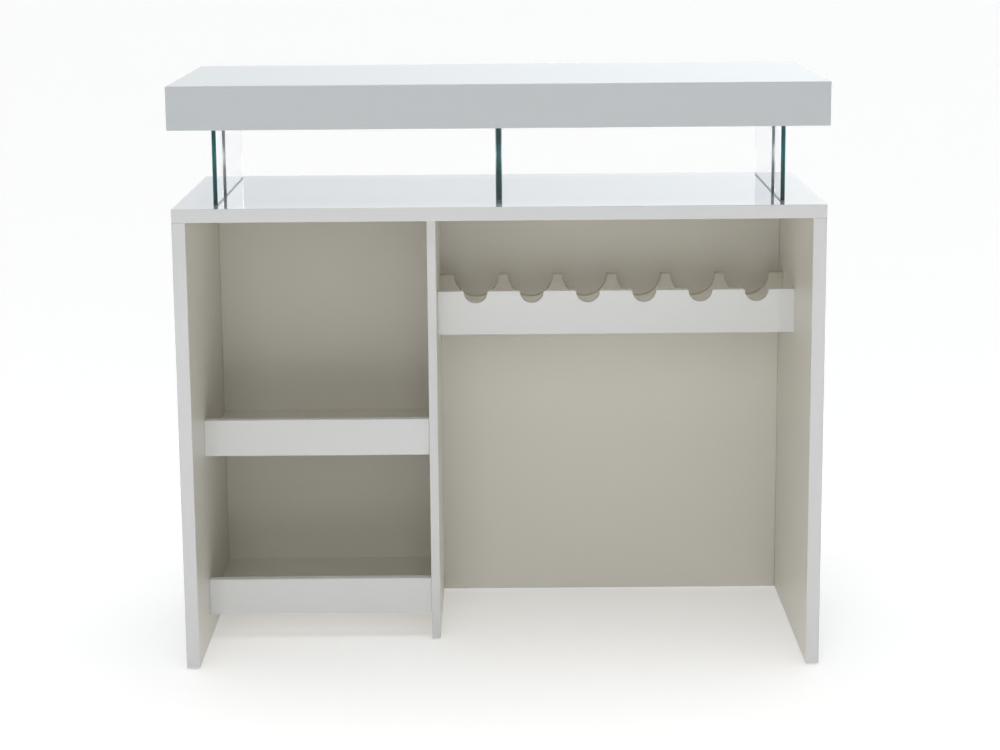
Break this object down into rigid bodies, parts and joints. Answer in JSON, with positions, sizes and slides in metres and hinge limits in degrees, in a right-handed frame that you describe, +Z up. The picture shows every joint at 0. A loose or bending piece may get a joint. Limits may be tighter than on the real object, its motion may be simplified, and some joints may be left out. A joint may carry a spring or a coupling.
{
  "type": "bar counter with shelves",
  "caption": "White lacquered bar counter with a raised bar top on glass supports, lipped shelves on one side and a notched rack for lying bottles on the other.",
  "frame": {"origin": "on the floor, under the middle of the bar top", "axes": "+X along the bar to the right as the server sees it, +Y from the server to the guests, +Z up"},
  "size_m": [1.2, 0.5, 1.1],
  "materials": {
    "white_gloss_lacquer": "white high-gloss lacquer on board",
    "white_satin_lacquer": "white satin lacquer on board",
    "raw_board": "raw fibreboard",
    "clear_glass": "clear float glass, polished edges",
    "clear_pad": "clear soft pad",
    "steel": "satin steel",
    "beech_dowel": "fluted beech",
    "glide_plastic": "moulded plastic"
  },
  "bodies": {
    "root": {"back_panel": "white_gloss_lacquer", "back_panel_left_dowel": "beech_dowel", "back_panel_right_dowel": "beech_dowel", "bar_top_base_board": "white_gloss_lacquer", "bar_top_cover": "white_gloss_lacquer", "counter_top": "white_gloss_lacquer", "divider_front_dowel": "beech_dowel", "divider_panel": "white_satin_lacquer", "divider_rear_dowel": "beech_dowel", "left_bar_top_block": "raw_board", "left_front_glass": "clear_glass", "left_front_glass_pad": "clear_pad", "left_lower_nut": "steel", "left_rear_glass": "clear_glass", "left_rear_glass_pad": "clear_pad", "left_side_front_dowel": "beech_dowel", "left_side_front_glide": "glide_plastic", "left_side_panel": "white_gloss_lacquer", "left_side_rear_dowel": "beech_dowel", "left_side_rear_glide": "glide_plastic", "left_tie_rod": "steel", "left_tie_tube": "steel", "left_upper_nut": "steel", "lower_shelf_board": "white_satin_lacquer", "lower_shelf_board_left_dowel": "beech_dowel", "lower_shelf_board_right_dowel": "beech_dowel", "lower_shelf_lip": "white_gloss_lacquer", "middle_bar_top_block": "raw_board", "middle_front_glass": "clear_glass", "middle_front_glass_pad": "clear_pad", "middle_lower_nut": "steel", "middle_rear_glass": "clear_glass", "middle_rear_glass_pad": "clear_pad", "middle_tie_rod": "steel", "middle_tie_tube": "steel", "middle_upper_nut": "steel", "rack_front_board": "white_gloss_lacquer", "rack_front_board_left_dowel": "beech_dowel", "rack_front_board_right_dowel": "beech_dowel", "rack_rear_board": "white_satin_lacquer", "rack_rear_board_left_dowel": "beech_dowel", "rack_rear_board_right_dowel": "beech_dowel", "right_bar_top_block": "raw_board", "right_front_glass": "clear_glass", "right_front_glass_pad": "clear_pad", "right_lower_nut": "steel", "right_rear_glass": "clear_glass", "right_rear_glass_pad": "clear_pad", "right_side_front_dowel": "beech_dowel", "right_side_front_glide": "glide_plastic", "right_side_panel": "white_gloss_lacquer", "right_side_rear_dowel": "beech_dowel", "right_side_rear_glide": "glide_plastic", "right_tie_rod": "steel", "right_tie_tube": "steel", "right_upper_nut": "steel", "upper_shelf_board": "white_satin_lacquer", "upper_shelf_board_left_dowel": "beech_dowel", "upper_shelf_board_right_dowel": "beech_dowel", "upper_shelf_lip": "white_gloss_lacquer"}
  },
  "joints": []
}
